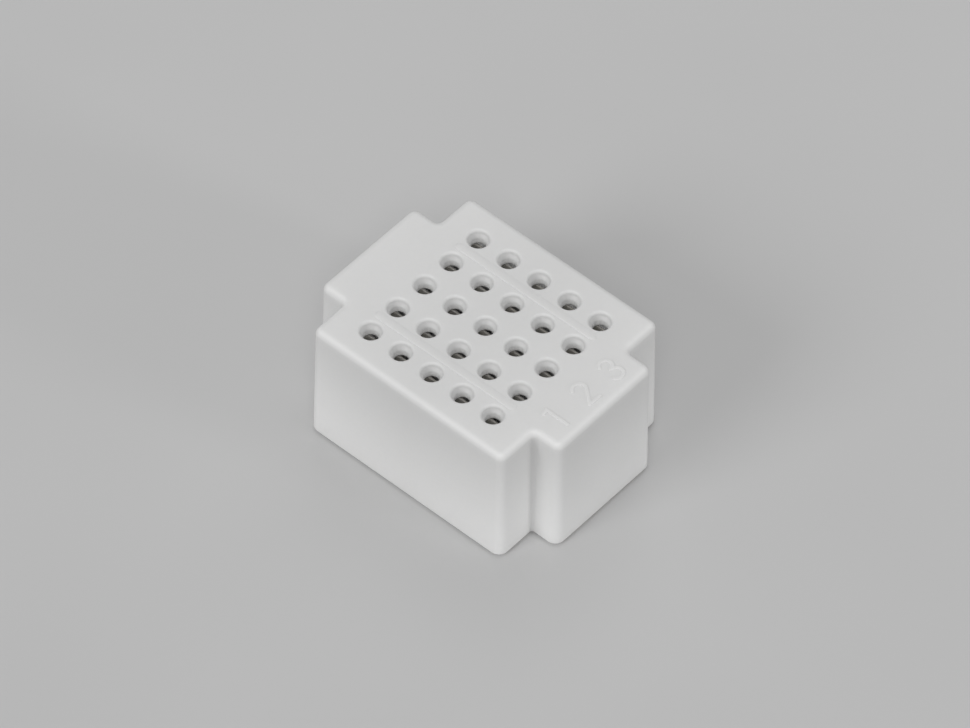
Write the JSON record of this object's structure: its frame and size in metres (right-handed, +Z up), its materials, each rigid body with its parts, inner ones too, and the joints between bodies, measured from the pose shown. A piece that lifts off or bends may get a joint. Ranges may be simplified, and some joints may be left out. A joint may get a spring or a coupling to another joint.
{
  "type": "solderless breadboard",
  "caption": "Tiny solderless breadboard with a cross-shaped moulded housing, a square grid of tie points over spring contact strips, and an adhesive foam back.",
  "frame": {"origin": "centre of the underside, on the release liner's lower face", "axes": "+X along the contact strips towards the tab with the row numbers, +Y across the strips, +Z up out of the tie points"},
  "size_m": [0.0202, 0.0152, 0.0097],
  "materials": {
    "housing_plastic": "satin moulded ABS",
    "contact_metal": "nickel-plated phosphor bronze",
    "foam": "double-sided foam tape",
    "liner_paper": "waxed release paper"
  },
  "bodies": {
    "housing_body": {"housing": "housing_plastic", "foam_pad": "foam", "bus_front_spine": "contact_metal", "row_1_spine": "contact_metal", "row_2_spine": "contact_metal", "row_3_spine": "contact_metal", "bus_back_spine": "contact_metal"},
    "liner": {"release_liner": "liner_paper"},
    "bus_front_finger_1_front": {"bus_front_finger_1_front": "contact_metal"},
    "bus_front_finger_1_back": {"bus_front_finger_1_back": "contact_metal"},
    "bus_front_finger_2_front": {"bus_front_finger_2_front": "contact_metal"},
    "bus_front_finger_2_back": {"bus_front_finger_2_back": "contact_metal"},
    "bus_front_finger_3_front": {"bus_front_finger_3_front": "contact_metal"},
    "bus_front_finger_3_back": {"bus_front_finger_3_back": "contact_metal"},
    "bus_front_finger_4_front": {"bus_front_finger_4_front": "contact_metal"},
    "bus_front_finger_4_back": {"bus_front_finger_4_back": "contact_metal"},
    "bus_front_finger_5_front": {"bus_front_finger_5_front": "contact_metal"},
    "bus_front_finger_5_back": {"bus_front_finger_5_back": "contact_metal"},
    "row_1_finger_1_front": {"row_1_finger_1_front": "contact_metal"},
    "row_1_finger_1_back": {"row_1_finger_1_back": "contact_metal"},
    "row_1_finger_2_front": {"row_1_finger_2_front": "contact_metal"},
    "row_1_finger_2_back": {"row_1_finger_2_back": "contact_metal"},
    "row_1_finger_3_front": {"row_1_finger_3_front": "contact_metal"},
    "row_1_finger_3_back": {"row_1_finger_3_back": "contact_metal"},
    "row_1_finger_4_front": {"row_1_finger_4_front": "contact_metal"},
    "row_1_finger_4_back": {"row_1_finger_4_back": "contact_metal"},
    "row_1_finger_5_front": {"row_1_finger_5_front": "contact_metal"},
    "row_1_finger_5_back": {"row_1_finger_5_back": "contact_metal"},
    "row_2_finger_1_front": {"row_2_finger_1_front": "contact_metal"},
    "row_2_finger_1_back": {"row_2_finger_1_back": "contact_metal"},
    "row_2_finger_2_front": {"row_2_finger_2_front": "contact_metal"},
    "row_2_finger_2_back": {"row_2_finger_2_back": "contact_metal"},
    "row_2_finger_3_front": {"row_2_finger_3_front": "contact_metal"},
    "row_2_finger_3_back": {"row_2_finger_3_back": "contact_metal"},
    "row_2_finger_4_front": {"row_2_finger_4_front": "contact_metal"},
    "row_2_finger_4_back": {"row_2_finger_4_back": "contact_metal"},
    "row_2_finger_5_front": {"row_2_finger_5_front": "contact_metal"},
    "row_2_finger_5_back": {"row_2_finger_5_back": "contact_metal"},
    "row_3_finger_1_front": {"row_3_finger_1_front": "contact_metal"},
    "row_3_finger_1_back": {"row_3_finger_1_back": "contact_metal"},
    "row_3_finger_2_front": {"row_3_finger_2_front": "contact_metal"},
    "row_3_finger_2_back": {"row_3_finger_2_back": "contact_metal"},
    "row_3_finger_3_front": {"row_3_finger_3_front": "contact_metal"},
    "row_3_finger_3_back": {"row_3_finger_3_back": "contact_metal"},
    "row_3_finger_4_front": {"row_3_finger_4_front": "contact_metal"},
    "row_3_finger_4_back": {"row_3_finger_4_back": "contact_metal"},
    "row_3_finger_5_front": {"row_3_finger_5_front": "contact_metal"},
    "row_3_finger_5_back": {"row_3_finger_5_back": "contact_metal"},
    "bus_back_finger_1_front": {"bus_back_finger_1_front": "contact_metal"},
    "bus_back_finger_1_back": {"bus_back_finger_1_back": "contact_metal"},
    "bus_back_finger_2_front": {"bus_back_finger_2_front": "contact_metal"},
    "bus_back_finger_2_back": {"bus_back_finger_2_back": "contact_metal"},
    "bus_back_finger_3_front": {"bus_back_finger_3_front": "contact_metal"},
    "bus_back_finger_3_back": {"bus_back_finger_3_back": "contact_metal"},
    "bus_back_finger_4_front": {"bus_back_finger_4_front": "contact_metal"},
    "bus_back_finger_4_back": {"bus_back_finger_4_back": "contact_metal"},
    "bus_back_finger_5_front": {"bus_back_finger_5_front": "contact_metal"},
    "bus_back_finger_5_back": {"bus_back_finger_5_back": "contact_metal"}
  },
  "joints": [
    {"name": "liner_pull", "type": "slide", "parent": "housing_body", "child": "liner", "axis": [1, 0, 0], "range_m": [0, 0.021]},
    {"name": "tie_bus_front_1_front", "type": "hinge", "parent": "housing_body", "child": "bus_front_finger_1_front", "pos_m": [-0.00508, -0.00556, 0.00155], "axis": [1, 0, 0], "range_deg": [0, 3.5], "stiffness_Nm_per_rad": 0.00002},
    {"name": "tie_bus_front_1_back", "type": "hinge", "parent": "housing_body", "child": "bus_front_finger_1_back", "pos_m": [-0.00508, -0.0046, 0.00155], "axis": [-1, 0, 0], "range_deg": [0, 3.5], "stiffness_Nm_per_rad": 0.00002},
    {"name": "tie_bus_front_2_front", "type": "hinge", "parent": "housing_body", "child": "bus_front_finger_2_front", "pos_m": [-0.00254, -0.00556, 0.00155], "axis": [1, 0, 0], "range_deg": [0, 3.5], "stiffness_Nm_per_rad": 0.00002},
    {"name": "tie_bus_front_2_back", "type": "hinge", "parent": "housing_body", "child": "bus_front_finger_2_back", "pos_m": [-0.00254, -0.0046, 0.00155], "axis": [-1, 0, 0], "range_deg": [0, 3.5], "stiffness_Nm_per_rad": 0.00002},
    {"name": "tie_bus_front_3_front", "type": "hinge", "parent": "housing_body", "child": "bus_front_finger_3_front", "pos_m": [0, -0.00556, 0.00155], "axis": [1, 0, 0], "range_deg": [0, 3.5], "stiffness_Nm_per_rad": 0.00002},
    {"name": "tie_bus_front_3_back", "type": "hinge", "parent": "housing_body", "child": "bus_front_finger_3_back", "pos_m": [0, -0.0046, 0.00155], "axis": [-1, 0, 0], "range_deg": [0, 3.5], "stiffness_Nm_per_rad": 0.00002},
    {"name": "tie_bus_front_4_front", "type": "hinge", "parent": "housing_body", "child": "bus_front_finger_4_front", "pos_m": [0.00254, -0.00556, 0.00155], "axis": [1, 0, 0], "range_deg": [0, 3.5], "stiffness_Nm_per_rad": 0.00002},
    {"name": "tie_bus_front_4_back", "type": "hinge", "parent": "housing_body", "child": "bus_front_finger_4_back", "pos_m": [0.00254, -0.0046, 0.00155], "axis": [-1, 0, 0], "range_deg": [0, 3.5], "stiffness_Nm_per_rad": 0.00002},
    {"name": "tie_bus_front_5_front", "type": "hinge", "parent": "housing_body", "child": "bus_front_finger_5_front", "pos_m": [0.00508, -0.00556, 0.00155], "axis": [1, 0, 0], "range_deg": [0, 3.5], "stiffness_Nm_per_rad": 0.00002},
    {"name": "tie_bus_front_5_back", "type": "hinge", "parent": "housing_body", "child": "bus_front_finger_5_back", "pos_m": [0.00508, -0.0046, 0.00155], "axis": [-1, 0, 0], "range_deg": [0, 3.5], "stiffness_Nm_per_rad": 0.00002},
    {"name": "tie_row_1_1_front", "type": "hinge", "parent": "housing_body", "child": "row_1_finger_1_front", "pos_m": [-0.00508, -0.00302, 0.00155], "axis": [1, 0, 0], "range_deg": [0, 3.5], "stiffness_Nm_per_rad": 0.00002},
    {"name": "tie_row_1_1_back", "type": "hinge", "parent": "housing_body", "child": "row_1_finger_1_back", "pos_m": [-0.00508, -0.00206, 0.00155], "axis": [-1, 0, 0], "range_deg": [0, 3.5], "stiffness_Nm_per_rad": 0.00002},
    {"name": "tie_row_1_2_front", "type": "hinge", "parent": "housing_body", "child": "row_1_finger_2_front", "pos_m": [-0.00254, -0.00302, 0.00155], "axis": [1, 0, 0], "range_deg": [0, 3.5], "stiffness_Nm_per_rad": 0.00002},
    {"name": "tie_row_1_2_back", "type": "hinge", "parent": "housing_body", "child": "row_1_finger_2_back", "pos_m": [-0.00254, -0.00206, 0.00155], "axis": [-1, 0, 0], "range_deg": [0, 3.5], "stiffness_Nm_per_rad": 0.00002},
    {"name": "tie_row_1_3_front", "type": "hinge", "parent": "housing_body", "child": "row_1_finger_3_front", "pos_m": [0, -0.00302, 0.00155], "axis": [1, 0, 0], "range_deg": [0, 3.5], "stiffness_Nm_per_rad": 0.00002},
    {"name": "tie_row_1_3_back", "type": "hinge", "parent": "housing_body", "child": "row_1_finger_3_back", "pos_m": [0, -0.00206, 0.00155], "axis": [-1, 0, 0], "range_deg": [0, 3.5], "stiffness_Nm_per_rad": 0.00002},
    {"name": "tie_row_1_4_front", "type": "hinge", "parent": "housing_body", "child": "row_1_finger_4_front", "pos_m": [0.00254, -0.00302, 0.00155], "axis": [1, 0, 0], "range_deg": [0, 3.5], "stiffness_Nm_per_rad": 0.00002},
    {"name": "tie_row_1_4_back", "type": "hinge", "parent": "housing_body", "child": "row_1_finger_4_back", "pos_m": [0.00254, -0.00206, 0.00155], "axis": [-1, 0, 0], "range_deg": [0, 3.5], "stiffness_Nm_per_rad": 0.00002},
    {"name": "tie_row_1_5_front", "type": "hinge", "parent": "housing_body", "child": "row_1_finger_5_front", "pos_m": [0.00508, -0.00302, 0.00155], "axis": [1, 0, 0], "range_deg": [0, 3.5], "stiffness_Nm_per_rad": 0.00002},
    {"name": "tie_row_1_5_back", "type": "hinge", "parent": "housing_body", "child": "row_1_finger_5_back", "pos_m": [0.00508, -0.00206, 0.00155], "axis": [-1, 0, 0], "range_deg": [0, 3.5], "stiffness_Nm_per_rad": 0.00002},
    {"name": "tie_row_2_1_front", "type": "hinge", "parent": "housing_body", "child": "row_2_finger_1_front", "pos_m": [-0.00508, -0.00048, 0.00155], "axis": [1, 0, 0], "range_deg": [0, 3.5], "stiffness_Nm_per_rad": 0.00002},
    {"name": "tie_row_2_1_back", "type": "hinge", "parent": "housing_body", "child": "row_2_finger_1_back", "pos_m": [-0.00508, 0.00048, 0.00155], "axis": [-1, 0, 0], "range_deg": [0, 3.5], "stiffness_Nm_per_rad": 0.00002},
    {"name": "tie_row_2_2_front", "type": "hinge", "parent": "housing_body", "child": "row_2_finger_2_front", "pos_m": [-0.00254, -0.00048, 0.00155], "axis": [1, 0, 0], "range_deg": [0, 3.5], "stiffness_Nm_per_rad": 0.00002},
    {"name": "tie_row_2_2_back", "type": "hinge", "parent": "housing_body", "child": "row_2_finger_2_back", "pos_m": [-0.00254, 0.00048, 0.00155], "axis": [-1, 0, 0], "range_deg": [0, 3.5], "stiffness_Nm_per_rad": 0.00002},
    {"name": "tie_row_2_3_front", "type": "hinge", "parent": "housing_body", "child": "row_2_finger_3_front", "pos_m": [0, -0.00048, 0.00155], "axis": [1, 0, 0], "range_deg": [0, 3.5], "stiffness_Nm_per_rad": 0.00002},
    {"name": "tie_row_2_3_back", "type": "hinge", "parent": "housing_body", "child": "row_2_finger_3_back", "pos_m": [0, 0.00048, 0.00155], "axis": [-1, 0, 0], "range_deg": [0, 3.5], "stiffness_Nm_per_rad": 0.00002},
    {"name": "tie_row_2_4_front", "type": "hinge", "parent": "housing_body", "child": "row_2_finger_4_front", "pos_m": [0.00254, -0.00048, 0.00155], "axis": [1, 0, 0], "range_deg": [0, 3.5], "stiffness_Nm_per_rad": 0.00002},
    {"name": "tie_row_2_4_back", "type": "hinge", "parent": "housing_body", "child": "row_2_finger_4_back", "pos_m": [0.00254, 0.00048, 0.00155], "axis": [-1, 0, 0], "range_deg": [0, 3.5], "stiffness_Nm_per_rad": 0.00002},
    {"name": "tie_row_2_5_front", "type": "hinge", "parent": "housing_body", "child": "row_2_finger_5_front", "pos_m": [0.00508, -0.00048, 0.00155], "axis": [1, 0, 0], "range_deg": [0, 3.5], "stiffness_Nm_per_rad": 0.00002},
    {"name": "tie_row_2_5_back", "type": "hinge", "parent": "housing_body", "child": "row_2_finger_5_back", "pos_m": [0.00508, 0.00048, 0.00155], "axis": [-1, 0, 0], "range_deg": [0, 3.5], "stiffness_Nm_per_rad": 0.00002},
    {"name": "tie_row_3_1_front", "type": "hinge", "parent": "housing_body", "child": "row_3_finger_1_front", "pos_m": [-0.00508, 0.00206, 0.00155], "axis": [1, 0, 0], "range_deg": [0, 3.5], "stiffness_Nm_per_rad": 0.00002},
    {"name": "tie_row_3_1_back", "type": "hinge", "parent": "housing_body", "child": "row_3_finger_1_back", "pos_m": [-0.00508, 0.00302, 0.00155], "axis": [-1, 0, 0], "range_deg": [0, 3.5], "stiffness_Nm_per_rad": 0.00002},
    {"name": "tie_row_3_2_front", "type": "hinge", "parent": "housing_body", "child": "row_3_finger_2_front", "pos_m": [-0.00254, 0.00206, 0.00155], "axis": [1, 0, 0], "range_deg": [0, 3.5], "stiffness_Nm_per_rad": 0.00002},
    {"name": "tie_row_3_2_back", "type": "hinge", "parent": "housing_body", "child": "row_3_finger_2_back", "pos_m": [-0.00254, 0.00302, 0.00155], "axis": [-1, 0, 0], "range_deg": [0, 3.5], "stiffness_Nm_per_rad": 0.00002},
    {"name": "tie_row_3_3_front", "type": "hinge", "parent": "housing_body", "child": "row_3_finger_3_front", "pos_m": [0, 0.00206, 0.00155], "axis": [1, 0, 0], "range_deg": [0, 3.5], "stiffness_Nm_per_rad": 0.00002},
    {"name": "tie_row_3_3_back", "type": "hinge", "parent": "housing_body", "child": "row_3_finger_3_back", "pos_m": [0, 0.00302, 0.00155], "axis": [-1, 0, 0], "range_deg": [0, 3.5], "stiffness_Nm_per_rad": 0.00002},
    {"name": "tie_row_3_4_front", "type": "hinge", "parent": "housing_body", "child": "row_3_finger_4_front", "pos_m": [0.00254, 0.00206, 0.00155], "axis": [1, 0, 0], "range_deg": [0, 3.5], "stiffness_Nm_per_rad": 0.00002},
    {"name": "tie_row_3_4_back", "type": "hinge", "parent": "housing_body", "child": "row_3_finger_4_back", "pos_m": [0.00254, 0.00302, 0.00155], "axis": [-1, 0, 0], "range_deg": [0, 3.5], "stiffness_Nm_per_rad": 0.00002},
    {"name": "tie_row_3_5_front", "type": "hinge", "parent": "housing_body", "child": "row_3_finger_5_front", "pos_m": [0.00508, 0.00206, 0.00155], "axis": [1, 0, 0], "range_deg": [0, 3.5], "stiffness_Nm_per_rad": 0.00002},
    {"name": "tie_row_3_5_back", "type": "hinge", "parent": "housing_body", "child": "row_3_finger_5_back", "pos_m": [0.00508, 0.00302, 0.00155], "axis": [-1, 0, 0], "range_deg": [0, 3.5], "stiffness_Nm_per_rad": 0.00002},
    {"name": "tie_bus_back_1_front", "type": "hinge", "parent": "housing_body", "child": "bus_back_finger_1_front", "pos_m": [-0.00508, 0.0046, 0.00155], "axis": [1, 0, 0], "range_deg": [0, 3.5], "stiffness_Nm_per_rad": 0.00002},
    {"name": "tie_bus_back_1_back", "type": "hinge", "parent": "housing_body", "child": "bus_back_finger_1_back", "pos_m": [-0.00508, 0.00556, 0.00155], "axis": [-1, 0, 0], "range_deg": [0, 3.5], "stiffness_Nm_per_rad": 0.00002},
    {"name": "tie_bus_back_2_front", "type": "hinge", "parent": "housing_body", "child": "bus_back_finger_2_front", "pos_m": [-0.00254, 0.0046, 0.00155], "axis": [1, 0, 0], "range_deg": [0, 3.5], "stiffness_Nm_per_rad": 0.00002},
    {"name": "tie_bus_back_2_back", "type": "hinge", "parent": "housing_body", "child": "bus_back_finger_2_back", "pos_m": [-0.00254, 0.00556, 0.00155], "axis": [-1, 0, 0], "range_deg": [0, 3.5], "stiffness_Nm_per_rad": 0.00002},
    {"name": "tie_bus_back_3_front", "type": "hinge", "parent": "housing_body", "child": "bus_back_finger_3_front", "pos_m": [0, 0.0046, 0.00155], "axis": [1, 0, 0], "range_deg": [0, 3.5], "stiffness_Nm_per_rad": 0.00002},
    {"name": "tie_bus_back_3_back", "type": "hinge", "parent": "housing_body", "child": "bus_back_finger_3_back", "pos_m": [0, 0.00556, 0.00155], "axis": [-1, 0, 0], "range_deg": [0, 3.5], "stiffness_Nm_per_rad": 0.00002},
    {"name": "tie_bus_back_4_front", "type": "hinge", "parent": "housing_body", "child": "bus_back_finger_4_front", "pos_m": [0.00254, 0.0046, 0.00155], "axis": [1, 0, 0], "range_deg": [0, 3.5], "stiffness_Nm_per_rad": 0.00002},
    {"name": "tie_bus_back_4_back", "type": "hinge", "parent": "housing_body", "child": "bus_back_finger_4_back", "pos_m": [0.00254, 0.00556, 0.00155], "axis": [-1, 0, 0], "range_deg": [0, 3.5], "stiffness_Nm_per_rad": 0.00002},
    {"name": "tie_bus_back_5_front", "type": "hinge", "parent": "housing_body", "child": "bus_back_finger_5_front", "pos_m": [0.00508, 0.0046, 0.00155], "axis": [1, 0, 0], "range_deg": [0, 3.5], "stiffness_Nm_per_rad": 0.00002},
    {"name": "tie_bus_back_5_back", "type": "hinge", "parent": "housing_body", "child": "bus_back_finger_5_back", "pos_m": [0.00508, 0.00556, 0.00155], "axis": [-1, 0, 0], "range_deg": [0, 3.5], "stiffness_Nm_per_rad": 0.00002}
  ],
  "couplings": [
    {"joint": "tie_bus_front_1_back", "follows": "tie_bus_front_1_front", "ratio": 1},
    {"joint": "tie_bus_front_2_back", "follows": "tie_bus_front_2_front", "ratio": 1},
    {"joint": "tie_bus_front_3_back", "follows": "tie_bus_front_3_front", "ratio": 1},
    {"joint": "tie_bus_front_4_back", "follows": "tie_bus_front_4_front", "ratio": 1},
    {"joint": "tie_bus_front_5_back", "follows": "tie_bus_front_5_front", "ratio": 1},
    {"joint": "tie_row_1_1_back", "follows": "tie_row_1_1_front", "ratio": 1},
    {"joint": "tie_row_1_2_back", "follows": "tie_row_1_2_front", "ratio": 1},
    {"joint": "tie_row_1_3_back", "follows": "tie_row_1_3_front", "ratio": 1},
    {"joint": "tie_row_1_4_back", "follows": "tie_row_1_4_front", "ratio": 1},
    {"joint": "tie_row_1_5_back", "follows": "tie_row_1_5_front", "ratio": 1},
    {"joint": "tie_row_2_1_back", "follows": "tie_row_2_1_front", "ratio": 1},
    {"joint": "tie_row_2_2_back", "follows": "tie_row_2_2_front", "ratio": 1},
    {"joint": "tie_row_2_3_back", "follows": "tie_row_2_3_front", "ratio": 1},
    {"joint": "tie_row_2_4_back", "follows": "tie_row_2_4_front", "ratio": 1},
    {"joint": "tie_row_2_5_back", "follows": "tie_row_2_5_front", "ratio": 1},
    {"joint": "tie_row_3_1_back", "follows": "tie_row_3_1_front", "ratio": 1},
    {"joint": "tie_row_3_2_back", "follows": "tie_row_3_2_front", "ratio": 1},
    {"joint": "tie_row_3_3_back", "follows": "tie_row_3_3_front", "ratio": 1},
    {"joint": "tie_row_3_4_back", "follows": "tie_row_3_4_front", "ratio": 1},
    {"joint": "tie_row_3_5_back", "follows": "tie_row_3_5_front", "ratio": 1},
    {"joint": "tie_bus_back_1_back", "follows": "tie_bus_back_1_front", "ratio": 1},
    {"joint": "tie_bus_back_2_back", "follows": "tie_bus_back_2_front", "ratio": 1},
    {"joint": "tie_bus_back_3_back", "follows": "tie_bus_back_3_front", "ratio": 1},
    {"joint": "tie_bus_back_4_back", "follows": "tie_bus_back_4_front", "ratio": 1},
    {"joint": "tie_bus_back_5_back", "follows": "tie_bus_back_5_front", "ratio": 1}
  ]
}
